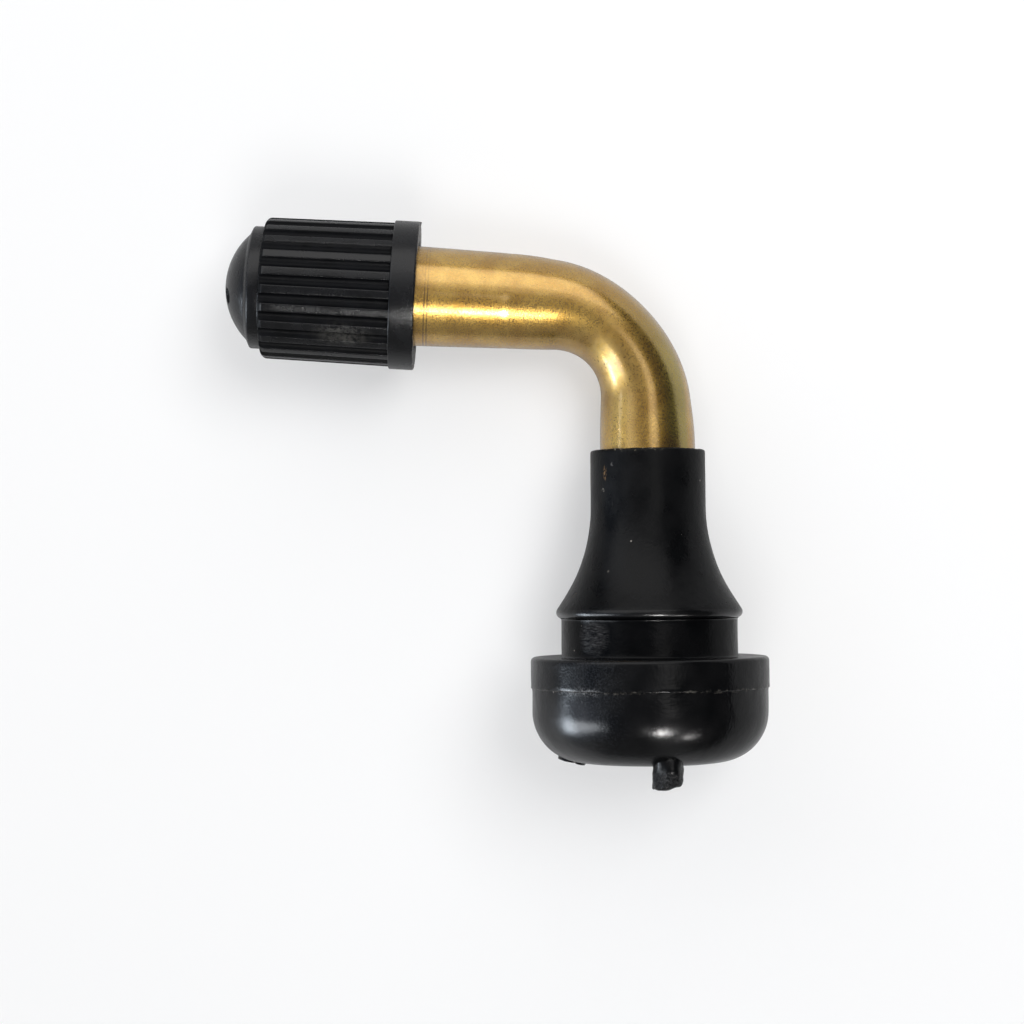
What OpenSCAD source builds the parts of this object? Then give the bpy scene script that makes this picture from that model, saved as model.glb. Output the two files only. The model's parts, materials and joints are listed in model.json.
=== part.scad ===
// Right-angle snap-in tyre valve: a brass stem moulded into a rubber base and bent towards
// the side of the wheel, with a screw-in valve core in its outlet and a ribbed plastic cap.
// Millimetres. It is drawn with the stem upright along +Z from the rim seat and the outlet
// towards -X, and as_it_lies() then lays the whole valve down as it rests on a table.

/* [Rubber base] */
// Diameter of the head, which stays inside the rim
head_d = 19.9; // [18:0.1:24]
// Height of the head below the rim seat
head_h = 8.7; // [8:0.1:12]
// Radius of the head's lower corner
head_round = 4.15; // [1:0.05:5]
// Height of the band between the mould line and the rim seat
band_h = 2.55; // [1.5:0.05:3.5]
// How far the band stands out at the mould line
mould_step = 0.1; // [0.05:0.05:0.3]
// Rounding of the band's upper edge
seat_round = 0.35; // [0.1:0.05:0.8]
// Diameter of the groove that the rim hole grips
groove_d = 14.75; // [13.5:0.05:15.5]
// Width of the groove, from the rim seat to the lip
groove_w = 3.2; // [2.2:0.1:4]
// Diameter of the lip above the groove
lip_d = 15.6; // [15.6:0.1:17]
// Rounding of the lip
lip_round = 0.5; // [0.2:0.05:0.8]
// Half angle of the flare above the lip
flare_angle = 33; // [25:1:40]
// Radius that blends the flare into the neck
flare_round = 14; // [5:0.5:16]
// Diameter of the neck
neck_d = 9.65; // [9:0.05:10.5]
// Height of the neck's top above the rim seat
neck_h = 17.2; // [16:0.1:18]
// Rounding of the neck's top edge
neck_round = 0.2; // [0.05:0.05:0.4]
// Diameter of the air inlet in the underside
inlet_d = 4; // [3.4:0.1:5]
// Distance of the moulding gates from the stem's axis
gate_r = 6.6; // [4:0.1:7]
// Diameter of a gate
gate_d = 2.6; // [1.5:0.1:3.5]
// Length of the stub left on the torn gate
stub_l = 1.85; // [0.5:0.05:3]
// Direction of the gate that kept its stub
stub_turn = -82; // [-180:1:180]
// Height of the scar left on the gate that broke off
scar_h = 0.22; // [0.1:0.02:0.5]
// Direction of the gate that broke off
scar_turn = 172; // [-180:1:180]
// Slant of that scar on the rounded corner
scar_lean = 14; // [0:1:40]

/* [Brass stem] */
// Diameter of the tube
tube_d = 7.95; // [7:0.05:8]
// Diameter of the air passage
bore_d = 3.3; // [2.4:0.1:3.6]
// Diameter of the flange that anchors the stem in the rubber
anchor_d = 11; // [9.5:0.1:12.5]
// Thickness of the anchor flange
anchor_h = 1.2; // [0.8:0.1:2]
// Depth of the stem's lower end below the rim seat
anchor_depth = 6.4; // [4.5:0.1:7]
// Height of the bend's start above the rim seat
bend_start = 21.4; // [21.4:0.1:26]
// Radius of the bend along the middle of the tube
bend_r = 8.2; // [7.5:0.1:12]
// Angle that the tube is bent through
bend_angle = 86.5; // [75:0.5:90]
// Share by which the tube is flattened halfway round the bend
bend_squash = 0.16; // [0:0.01:0.25]
// Share by which it widens to the sides there
bend_spread = 0.05; // [0:0.01:0.1]
// How far its middle moves towards the inside of the bend there
bend_drift = 0.35; // [0:0.05:0.8]
// Length of tube before and after the bend over which this fades out
bend_ease = 4; // [3:0.1:4]
// Length of the outlet from the bend to its tip
outlet_l = 24.1; // [23.5:0.1:30]
// Diameter that the outlet swells to ahead of its thread
swell_d = 8.45; // [8:0.05:8.5]
// Diameter over the cap thread
thread_d = 7.74; // [7.6:0.02:7.8]
// Length of the cap thread
thread_l = 9; // [8:0.1:10]
// Width of the relief groove behind the cap thread
relief_w = 0.8; // [0.5:0.05:1.2]
// Depth of the relief groove
relief_depth = 0.42; // [0.2:0.02:0.5]
// Bevel on the outlet's tip
tip_bevel = 0.4; // [0.1:0.05:0.6]

/* [Core chamber] */
// Diameter of the core thread in the outlet
core_thread_d = 5.24; // [5.2:0.02:5.4]
// Diameter of the plain mouth ahead of it
mouth_d = 5.5; // [5.45:0.05:5.8]
// Depth of the plain mouth
mouth_l = 1.3; // [0.8:0.1:1.5]
// Depth of the chamber below the tip
chamber_l = 21; // [20.4:0.1:22]
// Diameter of the chamber behind the core's seat
chamber_d = 4; // [3.9:0.05:4.1]
// Diameter of the wide end of the conical seat
seat_d = 4.7; // [4.6:0.05:4.9]
// Depth of the seat's wide end below the tip
seat_depth = 7.7; // [7.5:0.05:8]
// Length of the conical seat
seat_l = 1.7; // [1.4:0.05:1.8]

/* [Valve core] */
// Depth of the swivel's top below the tip
swivel_depth = 1.6; // [1.5:0.05:2]
// Length of the swivel
swivel_l = 5.2; // [5:0.05:5.4]
// Thickness of the bar across the swivel's top, which the core tool straddles
bar_t = 2; // [1.8:0.05:2.4]
// Height of that bar
bar_h = 1.8; // [1.4:0.05:2]
// Diameter of the space inside the swivel
swivel_space_d = 3.5; // [3.4:0.05:3.8]
// Thickness of the lip that carries the barrel
swivel_lip = 0.6; // [0.4:0.05:0.8]
// Diameter of the hole in the lip
lip_hole_d = 2.9; // [2.8:0.05:3]
// Outer diameter of the barrel
barrel_d = 3.5; // [3.2:0.05:3.6]
// Length of the barrel below its gasket
barrel_l = 6.2; // [5.5:0.1:6.5]
// Bore of the barrel, which holds the spring
barrel_bore = 2.2; // [2.15:0.05:2.3]
// Thickness of the barrel's floor, which the spring stands on
floor_t = 0.8; // [0.5:0.05:1]
// Hole in the floor, which the pin and the air pass through
floor_hole_d = 1.44; // [1.3:0.02:1.6]
// Diameter of the pin
pin_d = 1; // [0.8:0.02:1.1]
// Diameter of the pin's button
button_d = 1.5; // [1.3:0.05:1.5]
// Depth of the button's top below the tip
button_depth = 0.5; // [0.2:0.05:0.8]
// Diameter of the pin's spring collar
collar_d = 2; // [1.9:0.02:2.05]
// Depth of the collar's spring face below the tip
collar_depth = 4.6; // [4.4:0.05:5]
// Thickness of the collar, and of the pin's riveted end
collar_t = 0.35; // [0.2:0.05:0.5]
// Outer diameter of the cup
cup_d = 3.4; // [3.2:0.05:3.5]
// Wall of the cup
cup_wall = 0.25; // [0.15:0.05:0.4]
// Thickness of the cup's seal
cup_seal_t = 1.1; // [0.8:0.05:1.3]
// How far the seal stands out of the cup
seal_proud = 0.35; // [0.2:0.05:0.6]
// Thickness of the cup's floor
cup_floor = 0.7; // [0.4:0.05:1]
// Diameter of the spring wire
wire_d = 0.25; // [0.15:0.01:0.28]
// Turns of the spring
spring_turns = 11; // [7:1:14]

/* [Cap] */
// Diameter of the cap's flange
flange_d = 12.4; // [12:0.1:14]
// Width of the flange
flange_w = 2.1; // [1.5:0.1:3]
// Diameter over the ribs beside the flange
rib_d = 12; // [11.5:0.1:12.4]
// Diameter over the ribs at the domed end
rib_end_d = 11.75; // [11.2:0.05:12]
// Length of the ribs
rib_l = 10.7; // [10:0.1:14]
// Number of ribs
rib_count = 24; // [16:1:30]
// Width of the flute between two ribs
flute_w = 0.86; // [0.5:0.02:0.95]
// Depth of the flutes
flute_depth = 0.4; // [0.2:0.02:0.45]
// Bevel on the ribs' outer end
rib_bevel = 0.5; // [0.2:0.05:0.8]
// Diameter of the ring under the dome
ring_d = 10.2; // [9.6:0.1:10.6]
// Width of that ring
ring_w = 1.25; // [0.8:0.05:2]
// Diameter of the dome where it meets the ring
dome_d = 8.9; // [8:0.1:9.5]
// Height of the dome
dome_h = 1.95; // [1:0.05:3]
// Diameter of the moulding pit on the dome
pit_d = 1.3; // [0.6:0.1:2]
// Depth of the pit
pit_depth = 0.35; // [0.1:0.05:0.5]
// Distance of the pit from the cap's axis
pit_offset = 2; // [0:0.1:2.5]
// Direction of the pit round that axis
pit_turn = -120; // [-180:1:180]
// Thickness of the end wall, dome included
end_wall = 2.2; // [1.8:0.1:2.8]
// Diameter of the skirt's bore, which clears the swell
skirt_d = 8.9; // [8.7:0.05:9.2]
// Length of the cap's own thread
cap_thread_l = 5.2; // [4:0.1:6]
// Thickness of the gasket inside the cap
cap_gasket_t = 1.2; // [0.8:0.1:1.6]
// Hole in that gasket
cap_gasket_hole = 2.6; // [1.6:0.1:4]

/* [Clearances] */
// Running clearance between threads, on the radius
thread_clear = 0.05; // [0.02:0.01:0.1]
// Clearance round seals and loose pieces, on the radius
loose_clear = 0.15; // [0.05:0.01:0.2]
// Clearance of the core's gasket in its conical seat
seal_clear = 0.01; // [0:0.01:0.05]

/* [Hidden] */
$fn = 64;
eps = 0.01;

// Arcs of the turned outlines and rings of the swept pieces
arc_steps = 10;
elbow_rings = 21;
elbow_sides = 36;
spring_steps = 14;
spring_sides = 6;

// The bend: its centre lies on the outlet's side of the stem
bend_centre = [-bend_r, 0, bend_start];
arc_l = bend_r * bend_angle * PI / 180;
elbow_l = arc_l + 2 * bend_ease;
tube_r = tube_d / 2;
elbow_inset = 0.008;

// Depths below the outlet's tip
barrel_head = swivel_depth + swivel_l - swivel_lip;
barrel_neck = swivel_depth + swivel_l + loose_clear;
gasket_end = seat_depth + seat_l;
barrel_end = gasket_end + barrel_l;
cup_rim = barrel_end + seal_proud;
cup_end = barrel_end + cup_seal_t + cup_floor;
spring_top = collar_depth + wire_d / 2 + eps;
spring_end = barrel_end - floor_t - wire_d / 2 - eps;
coil_r = (barrel_bore / 2 + pin_d / 2) / 2;

// The cap, measured from its mouth along the outlet
cap_l = flange_w + rib_l + ring_w + dome_h;
cap_depth = cap_l - end_wall;
cap_mouth = outlet_l + cap_gasket_t - cap_depth;
cap_bore = thread_d + 2 * thread_clear;
dome_r = (pow(dome_d / 2, 2) + pow(dome_h, 2)) / (2 * dome_h);
pit_sag = dome_r - sqrt(pow(dome_r, 2) - pow(pit_offset, 2));
flute_r = (pow(flute_w / 2, 2) + pow(flute_depth, 2)) / (2 * flute_depth);
rib_draft = atan((rib_d - rib_end_d) / 2 / rib_l);

// Direction of the outlet, and the point on its axis at a distance from the bend
outlet_way = [-sin(bend_angle), 0, cos(bend_angle)];
function outlet_end(distance) =
    bend_centre + bend_r * [cos(bend_angle), 0, sin(bend_angle)] + distance * outlet_way;

// Points of an arc, in the plane of a turned outline
function arc(centre, r, from, to) =
    [for (i = [0:arc_steps]) let (a = from + (to - from) * i / arc_steps)
        centre + r * [cos(a), sin(a)]];

// Triangles of a tube through equal rings of points, closed at both ends
function tube_faces(rings, sides) = concat(
    [[for (j = [0:sides - 1]) j]],
    [for (i = [0:rings - 2], j = [0:sides - 1]) [i * sides + j, (i + 1) * sides + j, i * sides + (j + 1) % sides]],
    [for (i = [0:rings - 2], j = [0:sides - 1])
        [i * sides + (j + 1) % sides, (i + 1) * sides + j, (i + 1) * sides + (j + 1) % sides]],
    [[for (j = [sides - 1:-1:0]) (rings - 1) * sides + j]]);

// The valve as it rests: on the edge of its head, the outside of the bend and the cap's flange.
// Each round of settle() takes the points that lie lowest and tips the table to touch all three.
function unit(v) = v / norm(v);
function edge_touch(centre, axis, r, down) = centre + r * unit(down - (down * axis) * axis);
function elbow_touch(down) = let (
    points = [for (i = [0:elbow_rings - 1]) each elbow_ring(i)],
    depths = [for (p = points) p * down],
    lowest = max(depths)
) [for (k = [0:len(points) - 1]) if (depths[k] == lowest) points[k]][0];
function settle(down, rounds) = rounds == 0 ? down : let (
    head = edge_touch([0, 0, -seat_round], [0, 0, 1], head_d / 2 - seat_round, down) + seat_round * down,
    flange = edge_touch(outlet_end(cap_mouth), outlet_way, flange_d / 2, down),
    bend = elbow_touch(down)
) settle(unit(cross(flange - head, bend - head)), rounds - 1);

table_down = settle([0, 1, 0], 8);
rest_roll = atan2(table_down[0], table_down[1]);
rest_lean = asin(table_down[2]);

module as_it_lies() rotate([-90 - rest_lean, 0, 0]) rotate([0, 0, rest_roll]) children();

// Places a piece along the outlet, whose Z then runs from the bend's end to the tip
module along_outlet() translate(outlet_end(0)) rotate([0, -bend_angle, 0]) children();

// Places a piece in the core chamber, whose Z then runs inwards from the outlet's tip
module in_chamber() along_outlet() translate([0, 0, outlet_l]) rotate([180, 0, 0]) children();

// A plain ring or washer
module ring(outer_d, inner_d, from, to)
    translate([0, 0, from]) difference() {
        cylinder(d = outer_d, h = to - from);
        translate([0, 0, -1]) cylinder(d = inner_d, h = to - from + 2);
    }

// Outline of the rubber, from the underside's middle round to the neck's top
function base_outline() = let (
    body_r = head_d / 2 - mould_step,
    corner = [body_r - head_round, head_round - head_h],
    lip_middle = [lip_d / 2 - lip_round, groove_w + lip_round],
    flare_normal = [cos(flare_angle), sin(flare_angle)],
    flare_foot = lip_middle + lip_round * flare_normal,
    blend_x = neck_d / 2 + flare_round,
    blend_z = flare_foot[1] + (flare_round - cos(flare_angle) * (blend_x - flare_foot[0])) / sin(flare_angle)
) concat(
    [[0, -head_h]],
    arc(corner, head_round, -90, 0),
    [[body_r, -band_h], [head_d / 2, -band_h]],
    arc([head_d / 2 - seat_round, -seat_round], seat_round, 0, 90),
    [[groove_d / 2, 0], [groove_d / 2, groove_w]],
    arc(lip_middle, lip_round, -90, flare_angle),
    arc([blend_x, blend_z], flare_round, 180 + flare_angle, 180),
    arc([neck_d / 2 - neck_round, neck_h - neck_round], neck_round, 0, 90),
    [[0, neck_h]]);

// Outline of the stem inside the rubber, up to the bend
function root_outline(top) = [
    [0, -anchor_depth], [anchor_d / 2, -anchor_depth], [anchor_d / 2, anchor_h - anchor_depth],
    [tube_r, anchor_h - anchor_depth + (anchor_d - tube_d) / 4], [tube_r, top], [0, top]];

// The moulding gates under the head: one torn off long, with a slanting break, and one torn off
// short, which left a low scar on the rounded corner
module gate_stub()
    rotate(stub_turn) translate([gate_r, 0, -head_h - stub_l]) difference() {
        cylinder(d1 = gate_d, d2 = gate_d * 0.94, h = stub_l + head_round / 2, $fn = 7);
        rotate([0, 0, 60]) rotate([0, 16, 0]) translate([-gate_d, -gate_d, -gate_d]) cube([2 * gate_d, 2 * gate_d, gate_d]);
    }

module gate_scar()
    rotate(scar_turn) translate([gate_r - head_round / 4, 0, head_round - head_h]) rotate([0, 180 - scar_lean, 0])
        cylinder(d = gate_d, h = head_round + scar_h, $fn = 7);

module rubber_base() color("#17181b") difference() {
    union() {
        rotate_extrude() polygon(base_outline());
        gate_stub();
        gate_scar();
    }
    rotate_extrude() polygon(root_outline(neck_h + 1));
    translate([0, 0, -head_h - 1]) cylinder(d = inlet_d, h = head_h);
}

// The bent length, lofted through rings that flatten towards the middle of the bend
function elbow_ring(i) = let (
    s = elbow_l * i / (elbow_rings - 1),
    turn = min(bend_angle, max(0, (s - bend_ease) / bend_r * 180 / PI)),
    lead = min(0, s - bend_ease) + max(0, s - bend_ease - arc_l),
    outward = [cos(turn), 0, sin(turn)],
    onward = [-sin(turn), 0, cos(turn)],
    give = pow(sin(180 * i / (elbow_rings - 1)), 2),
    middle = bend_centre + (bend_r - bend_drift * give) * outward + lead * onward,
    half_deep = (tube_r - elbow_inset) * (1 - bend_squash * give),
    half_wide = (tube_r - elbow_inset) * (1 + bend_spread * give)
) [for (j = [0:elbow_sides - 1]) let (a = 360 * j / elbow_sides)
    middle + half_deep * cos(a) * outward + [0, half_wide * sin(a), 0]];

module elbow()
    polyhedron([for (i = [0:elbow_rings - 1]) each elbow_ring(i)], tube_faces(elbow_rings, elbow_sides));

// Outline of the outlet, from the bend to the tip
function outlet_outline() = let (thread_start = outlet_l - thread_l, swell_end = thread_start - relief_w) [
    [0, bend_ease - 0.2], [tube_r, bend_ease - 0.2], [tube_r, bend_ease], [swell_d / 2, swell_end - relief_depth],
    [swell_d / 2, swell_end - relief_depth / 2], [thread_d / 2 - relief_depth, swell_end],
    [thread_d / 2 - relief_depth, thread_start], [thread_d / 2, thread_start + relief_depth],
    [thread_d / 2, outlet_l - tip_bevel], [thread_d / 2 - tip_bevel, outlet_l], [0, outlet_l]];

// Outline of the core chamber, from the tip inwards
function chamber_outline() = [
    [0, -1], [mouth_d / 2, -1], [mouth_d / 2, mouth_l], [core_thread_d / 2, mouth_l + 0.2],
    [core_thread_d / 2, seat_depth - 0.3], [seat_d / 2, seat_depth], [chamber_d / 2, gasket_end],
    [chamber_d / 2, chamber_l], [0, chamber_l + chamber_d / 4]];

module air_passage() {
    translate([0, 0, -anchor_depth - 1]) cylinder(d = bore_d, h = anchor_depth + bend_start + 1);
    translate(bend_centre) rotate([90, 0, 0]) rotate_extrude(angle = bend_angle)
        translate([bend_r, 0]) circle(d = bore_d);
    along_outlet() cylinder(d = bore_d, h = outlet_l - chamber_l + 1);
}

module stem() color("#c09a4e") difference() {
    union() {
        rotate_extrude() polygon(root_outline(bend_start - bend_ease + 0.2));
        elbow();
        along_outlet() rotate_extrude() polygon(outlet_outline());
    }
    air_passage();
    in_chamber() rotate_extrude() polygon(chamber_outline());
}

module core_swivel() color("#b8934a") in_chamber() translate([0, 0, swivel_depth]) difference() {
    cylinder(d = core_thread_d - 2 * thread_clear, h = swivel_l);
    for (side = [0, 180])
        rotate(side) translate([-core_thread_d, bar_t / 2, -1]) cube([2 * core_thread_d, core_thread_d, bar_h + 1]);
    translate([0, 0, bar_h]) cylinder(d = swivel_space_d, h = swivel_l - bar_h - swivel_lip);
    translate([0, 0, -1]) cylinder(d = lip_hole_d, h = swivel_l + 2);
}

module core_barrel() color("#b8934a") in_chamber() difference() {
    union() {
        translate([0, 0, barrel_head - 0.6]) cylinder(d = swivel_space_d - 2 * loose_clear, h = 0.6 - eps);
        translate([0, 0, barrel_head - 0.3]) cylinder(d = lip_hole_d - 2 * loose_clear, h = seat_depth - barrel_head + 0.3);
        translate([0, 0, barrel_neck]) cylinder(d = seat_d - 2 * loose_clear, h = seat_depth - barrel_neck);
        translate([0, 0, seat_depth - 0.1]) cylinder(d = barrel_d - 0.5, h = seat_l + 0.2);
        translate([0, 0, gasket_end]) cylinder(d = barrel_d, h = barrel_l);
    }
    translate([0, 0, barrel_head - 1]) cylinder(d = barrel_bore, h = barrel_end - floor_t - barrel_head + 1);
    translate([0, 0, barrel_head]) cylinder(d = floor_hole_d, h = barrel_end);
}

module barrel_gasket() color("#c8443a") in_chamber()
    translate([0, 0, seat_depth]) difference() {
        cylinder(r1 = seat_d / 2 - seal_clear, r2 = chamber_d / 2 - seal_clear, h = seat_l);
        translate([0, 0, -1]) cylinder(d = barrel_d - 0.5, h = seat_l + 2);
    }

// The spring round the pin, between the pin's collar and the barrel's floor
module core_spring() color("silver") in_chamber() {
    rings = spring_turns * spring_steps + 1;
    rise = (spring_end - spring_top) / (rings - 1);
    polyhedron(
        [for (i = [0:rings - 1]) let (a = 360 * i / spring_steps, out = [cos(a), sin(a), 0])
            each [for (j = [0:spring_sides - 1]) let (b = -360 * j / spring_sides)
                coil_r * out + wire_d / 2 * (cos(b) * out + [0, 0, sin(b)]) + [0, 0, spring_top + rise * i]]],
        tube_faces(rings, spring_sides));
}

module core_pin() color("#b8934a") in_chamber() {
    translate([0, 0, button_depth]) cylinder(d = button_d, h = 0.8);
    translate([0, 0, button_depth + 0.4]) cylinder(d = pin_d, h = cup_end - button_depth);
    translate([0, 0, collar_depth - collar_t]) cylinder(d = collar_d, h = collar_t);
    translate([0, 0, cup_end]) cylinder(d = button_d, h = collar_t);
}

module plunger_cup() color("#b8934a") in_chamber() difference() {
    translate([0, 0, cup_rim]) cylinder(d = cup_d, h = cup_end - cup_rim);
    translate([0, 0, cup_rim - 1]) cylinder(d = cup_d - 2 * cup_wall, h = cup_seal_t - seal_proud + 1);
    translate([0, 0, cup_rim]) cylinder(d = pin_d, h = cup_end);
}

module cup_seal() color("#26262a") in_chamber()
    ring(cup_d - 2 * cup_wall, pin_d, barrel_end, barrel_end + cup_seal_t);

module cap_gasket() color("#2b2b2e") along_outlet()
    ring(cap_bore - 2 * loose_clear, cap_gasket_hole, outlet_l, outlet_l + cap_gasket_t - eps);

// Outline of the cap, from its mouth to the top of the dome
function cap_outline() = let (rib_end = flange_w + rib_l, ring_end = rib_end + ring_w, half = asin(dome_d / 2 / dome_r)) concat(
    [[0, 0], [flange_d / 2, 0], [flange_d / 2, flange_w], [rib_d / 2, flange_w],
     [rib_end_d / 2, rib_end - rib_bevel], [rib_end_d / 2 - rib_bevel, rib_end],
     [ring_d / 2, rib_end], [ring_d / 2, ring_end - 0.3], [dome_d / 2, ring_end]],
    arc([0, cap_l - dome_r], dome_r, 90 - half, 90));

module flutes()
    for (i = [0:rib_count - 1])
        rotate(360 * i / rib_count) translate([rib_d / 2 + flute_r - flute_depth, 0, flange_w])
            rotate([0, -rib_draft, 0]) cylinder(r = flute_r, h = rib_l + ring_w);

module cap() color("#1b1b1d") along_outlet() translate([0, 0, cap_mouth]) difference() {
    rotate_extrude() polygon(cap_outline());
    intersection() {
        flutes();
        translate([0, 0, flange_w]) cylinder(d = 2 * flange_d, h = rib_l);
    }
    translate([0, 0, -1]) cylinder(d = skirt_d, h = cap_depth - cap_gasket_t - cap_thread_l + 1);
    translate([0, 0, flange_w]) cylinder(d = cap_bore, h = cap_depth - flange_w);
    rotate(pit_turn) translate([pit_offset, 0, cap_l - pit_sag - pit_depth]) cylinder(d = pit_d, h = 1);
}

as_it_lies() rubber_base();
as_it_lies() stem();
as_it_lies() core_swivel();
as_it_lies() core_barrel();
as_it_lies() barrel_gasket();
as_it_lies() core_spring();
as_it_lies() core_pin();
as_it_lies() plunger_cup();
as_it_lies() cup_seal();
as_it_lies() cap_gasket();
as_it_lies() cap();
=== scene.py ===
import bpy
import bmesh
import json
import math
from mathutils import Matrix, Vector, noise


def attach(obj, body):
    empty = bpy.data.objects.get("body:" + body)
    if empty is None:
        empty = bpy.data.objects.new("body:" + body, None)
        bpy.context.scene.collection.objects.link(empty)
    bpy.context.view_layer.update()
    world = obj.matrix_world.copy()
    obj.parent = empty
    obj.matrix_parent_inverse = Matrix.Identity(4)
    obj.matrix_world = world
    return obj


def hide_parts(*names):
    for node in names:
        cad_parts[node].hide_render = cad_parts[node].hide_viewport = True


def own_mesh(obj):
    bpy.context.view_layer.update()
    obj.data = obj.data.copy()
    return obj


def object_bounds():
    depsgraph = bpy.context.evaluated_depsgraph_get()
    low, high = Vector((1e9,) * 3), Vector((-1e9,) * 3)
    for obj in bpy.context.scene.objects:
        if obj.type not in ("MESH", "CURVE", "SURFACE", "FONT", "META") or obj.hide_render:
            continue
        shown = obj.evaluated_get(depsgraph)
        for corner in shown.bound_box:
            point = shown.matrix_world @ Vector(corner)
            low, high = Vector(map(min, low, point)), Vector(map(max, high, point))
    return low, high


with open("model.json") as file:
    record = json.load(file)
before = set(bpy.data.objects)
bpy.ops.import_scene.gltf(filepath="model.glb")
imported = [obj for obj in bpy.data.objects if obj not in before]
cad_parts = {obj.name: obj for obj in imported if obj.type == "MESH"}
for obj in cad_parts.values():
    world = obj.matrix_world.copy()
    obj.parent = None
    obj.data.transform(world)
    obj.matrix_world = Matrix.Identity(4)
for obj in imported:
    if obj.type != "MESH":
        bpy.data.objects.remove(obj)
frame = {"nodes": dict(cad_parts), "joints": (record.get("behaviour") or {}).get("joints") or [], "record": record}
cadLow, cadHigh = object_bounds()
nodes = frame["nodes"]
record = frame["record"]
mm = 0.001
print("frame loaded:", len(nodes), "nodes")

# the valve's own axes: stem up +Z from the rim seat, outlet to -X, near side -Y
stemWay = Vector(next(m["axis"] for m in record["mounts"] if m["name"] == "rim_seat")).normalized()
outletWay = Vector(next(j["axis"] for j in frame["joints"] if j["name"] == "cap_turn")).normalized()
sideWay = -(outletWay - outletWay.dot(stemWay) * stemWay).normalized()
nearWay = stemWay.cross(sideWay)
valveTurn = Matrix((sideWay, nearWay, stemWay)).transposed()
valveToRow = valveTurn.to_4x4() @ Matrix.Scale(mm, 4)
bendAngle = math.pi / 2 - math.asin(outletWay.dot(stemWay))

bendShape = {"start": 21.4, "radius": 8.2, "squash": 0.16, "spread": 0.05, "drift": 0.35, "ease": 4.0}
bendCentre = Vector((-bendShape["radius"], 0, bendShape["start"]))
outletFoot = bendCentre + bendShape["radius"] * Vector((math.cos(bendAngle), 0, math.sin(bendAngle)))
outletTurn = Matrix.Translation(outletFoot) @ Matrix.Rotation(-bendAngle, 4, "Y")


def arcPoints(centre, radius, start, end, steps):
    points = []
    for i in range(steps + 1):
        a = math.radians(start + (end - start) * i / steps)
        points.append((centre[0] + radius * math.cos(a), centre[1] + radius * math.sin(a)))
    return points


def fineOutline(points, longest, closed):
    # long straight runs get more points, so that dents and waves have something to move
    fine = []
    count = len(points) if closed else len(points) - 1
    for i in range(count):
        a = Vector(points[i])
        b = Vector(points[(i + 1) % len(points)])
        parts = max(1, math.ceil((b - a).length / longest))
        for k in range(parts):
            fine.append(a.lerp(b, k / parts))
    if not closed:
        fine.append(Vector(points[-1]))
    return fine


def spinOutline(bm, points, steps, closed):
    ring = [bm.verts.new((p[0], 0, p[1])) for p in points]
    edges = [bm.edges.new((ring[i], ring[i + 1])) for i in range(len(ring) - 1)]
    if closed:
        edges.append(bm.edges.new((ring[-1], ring[0])))
    bmesh.ops.spin(bm, geom=ring + edges, cent=(0, 0, 0), axis=(0, 0, 1), angle=2 * math.pi, steps=steps,
                   use_merge=True)
    bmesh.ops.remove_doubles(bm, verts=bm.verts, dist=1e-5)
    bmesh.ops.recalc_face_normals(bm, faces=bm.faces)


def wobble(point, scale, seed=0.0):
    return noise.noise(Vector(point) * scale + Vector((seed, seed * 1.7, seed * 0.6)))


def smoothStep(low, high, value):
    t = min(1.0, max(0.0, (value - low) / (high - low)))
    return t * t * (3 - 2 * t)


def extrudeRing(bm, ring, edges):
    # one step of a tube: the open ring is drawn out, and the new ring keeps the old one's order
    made = bmesh.ops.extrude_edge_only(bm, edges=edges)["geom"]
    fresh = {g for g in made if isinstance(g, bmesh.types.BMVert)}
    nextEdges = [g for g in made if isinstance(g, bmesh.types.BMEdge) and all(v in fresh for v in g.verts)]
    nextRing = [next(e.other_vert(v) for e in v.link_edges if e.other_vert(v) in fresh) for v in ring]
    return nextRing, nextEdges


def weldSolids(bmA, bmB):
    # the union of two closed shapes, as one closed shape
    pair = []
    for bm in (bmA, bmB):
        mesh = bpy.data.meshes.new("weld")
        bm.to_mesh(mesh)
        bm.free()
        pair.append(bpy.data.objects.new("weld", mesh))
        bpy.context.scene.collection.objects.link(pair[-1])
    union = pair[0].modifiers.new("union", "BOOLEAN")
    union.operation = "UNION"
    union.solver = "EXACT"
    union.object = pair[1]
    shaped = pair[0].evaluated_get(bpy.context.evaluated_depsgraph_get())
    welded = bmesh.new()
    welded.from_mesh(shaped.to_mesh())
    shaped.to_mesh_clear()
    for solid in pair:
        mesh = solid.data
        bpy.data.objects.remove(solid)
        bpy.data.meshes.remove(mesh)
    return welded


def finishPiece(bm, name, place, body, node):
    bmesh.ops.transform(bm, matrix=place, verts=bm.verts)
    mesh = bpy.data.meshes.new(name)
    bm.to_mesh(mesh)
    bm.free()
    for poly in mesh.polygons:
        poly.use_smooth = True
    mesh.set_sharp_from_angle(angle=math.radians(42))
    piece = bpy.data.objects.new(name, mesh)
    bpy.context.scene.collection.objects.link(piece)
    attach(piece, body)
    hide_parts(node)
    print(name, "made:", len(mesh.polygons), "faces")
    return piece


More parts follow.
